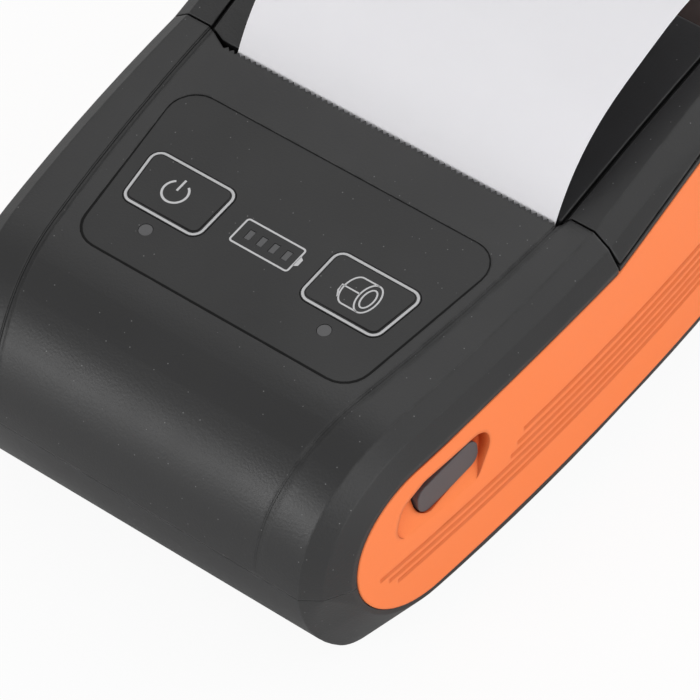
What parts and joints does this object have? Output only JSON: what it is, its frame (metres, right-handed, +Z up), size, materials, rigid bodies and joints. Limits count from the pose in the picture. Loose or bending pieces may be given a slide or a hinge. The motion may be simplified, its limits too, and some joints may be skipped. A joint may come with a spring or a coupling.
{
  "type": "thermal receipt printer",
  "caption": "Portable thermal receipt printer with a round nose, pill-shaped side panels, a tilting paper lid and a curl of paper leaving the tear edge.",
  "frame": {"origin": "centre of the underside of the case, on the table", "axes": "+X to the printer's right, +Y to the rear, +Z up"},
  "size_m": [0.0824, 0.122, 0.0596],
  "materials": {
    "case_black": "fine matt moulding",
    "panel_orange": "smooth semi-matt moulding",
    "label_film": "satin film",
    "indicator_lens": "clouded clear plastic",
    "smoked_window": "smoked clear plastic",
    "bright_steel": "plain steel",
    "sheet_steel": "plated sheet steel",
    "platen_rubber": "ground rubber",
    "bush_plastic": "bearing plastic",
    "gear_plastic": "natural acetal",
    "pinion_brass": "machined brass",
    "head_ceramic": "glazed ceramic",
    "plate_aluminium": "pressed aluminium",
    "ribbon_film": "polyimide film",
    "part_black": "plain moulding",
    "button_grey": "smooth grey moulding",
    "paper_white": "coated thermal paper",
    "core_card": "wound card",
    "battery_wrap": "shrink sleeve",
    "contact_gold": "gilt spring contacts",
    "led_white": "LED body",
    "board_green": "solder mask"
  },
  "bodies": {
    "chassis": {"nose_shell": "case_black", "bottom_shell": "case_black", "rear_cover": "case_black", "right_side_panel": "panel_orange", "left_side_panel": "panel_orange", "label_overlay": "label_film", "key_light_pipes": "indicator_lens", "battery_gauge_lens": "indicator_lens", "lid_hinge_pin": "bright_steel", "lid_spring": "bright_steel", "gear_axle": "bright_steel", "feed_motor": "sheet_steel", "mechanism_frame": "sheet_steel", "print_head": "head_ceramic", "head_heat_plate": "plate_aluminium", "head_springs": "bright_steel", "head_ribbon": "ribbon_film", "paper_sensor": "part_black", "release_spring": "bright_steel", "latch_pivot": "bright_steel", "paper_cradle": "part_black", "paper_run": "paper_white", "battery_pack": "battery_wrap", "battery_contacts": "contact_gold", "key_board": "board_green", "key_switches": "part_black", "key_leds": "led_white", "main_board": "board_green", "board_parts": "part_black", "usb_socket": "sheet_steel", "case_screws": "bright_steel", "frame_screws": "bright_steel"},
    "lid_cover": {"lid": "case_black", "lid_window": "smoked_window", "platen_bushes": "bush_plastic", "paper_strip": "paper_white"},
    "platen": {"platen_roller": "platen_rubber", "platen_shaft": "bright_steel", "platen_gear": "gear_plastic"},
    "reduction": {"reduction_gear": "gear_plastic"},
    "pinion": {"motor_pinion": "pinion_brass"},
    "roll": {"paper_roll": "paper_white", "roll_core": "core_card"},
    "power_key": {"power_key": "label_film"},
    "feed_key": {"feed_key": "label_film"},
    "button": {"release_button": "button_grey"},
    "slider": {"release_slider": "button_grey"},
    "latch": {"latch_lever": "sheet_steel"},
    "door": {"battery_door": "case_black"}
  },
  "joints": [
    {"name": "lid_hinge", "type": "hinge", "parent": "chassis", "child": "lid_cover", "pos_m": [0, 0.05, 0.0422], "axis": [-1, 0, 0], "range_deg": [0, 80]},
    {"name": "platen_turn", "type": "hinge", "parent": "lid_cover", "child": "platen", "pos_m": [0.002, 0.0066, 0.0366], "axis": [1, 0, 0], "continuous": true},
    {"name": "reduction_turn", "type": "hinge", "parent": "chassis", "child": "reduction", "pos_m": [-0.033, 0.00385, 0.02904], "axis": [1, 0, 0], "continuous": true},
    {"name": "pinion_turn", "type": "hinge", "parent": "chassis", "child": "pinion", "pos_m": [-0.035, -0.0052, 0.0227], "axis": [1, 0, 0], "continuous": true},
    {"name": "roll_turn", "type": "hinge", "parent": "chassis", "child": "roll", "pos_m": [0.0025, 0.036, 0.0224], "axis": [1, 0, 0], "continuous": true},
    {"name": "power_key_press", "type": "slide", "parent": "chassis", "child": "power_key", "axis": [0, 0.0523, -0.9986], "range_m": [0, 0.0004], "stiffness_N_per_m": 600, "springref_m": -0.0005},
    {"name": "feed_key_press", "type": "slide", "parent": "chassis", "child": "feed_key", "axis": [0, 0.0523, -0.9986], "range_m": [0, 0.0004], "stiffness_N_per_m": 600, "springref_m": -0.0005},
    {"name": "release_press", "type": "slide", "parent": "chassis", "child": "button", "axis": [-1, 0, 0], "range_m": [0, 0.002], "stiffness_N_per_m": 900, "springref_m": -0.002, "deforming": ["release_spring"]},
    {"name": "slider_travel", "type": "slide", "parent": "chassis", "child": "slider", "axis": [0, 1, 0], "range_m": [0, 0.002]},
    {"name": "latch_swing", "type": "hinge", "parent": "chassis", "child": "latch", "pos_m": [0.0355, 0.003, 0.025], "axis": [1, 0, 0], "range_deg": [0, 13.3]},
    {"name": "battery_door_hinge", "type": "hinge", "parent": "chassis", "child": "door", "pos_m": [0, -0.0407, 0.0008], "axis": [-1, 0, 0], "range_deg": [0, 50]}
  ],
  "couplings": [
    {"joint": "reduction_turn", "follows": "platen_turn", "ratio": -1.2857},
    {"joint": "pinion_turn", "follows": "platen_turn", "ratio": 3.4286},
    {"joint": "roll_turn", "follows": "platen_turn", "ratio": 0.25},
    {"joint": "slider_travel", "follows": "release_press", "ratio": 1},
    {"joint": "latch_swing", "follows": "release_press", "rad_per_m": 115}
  ]
}
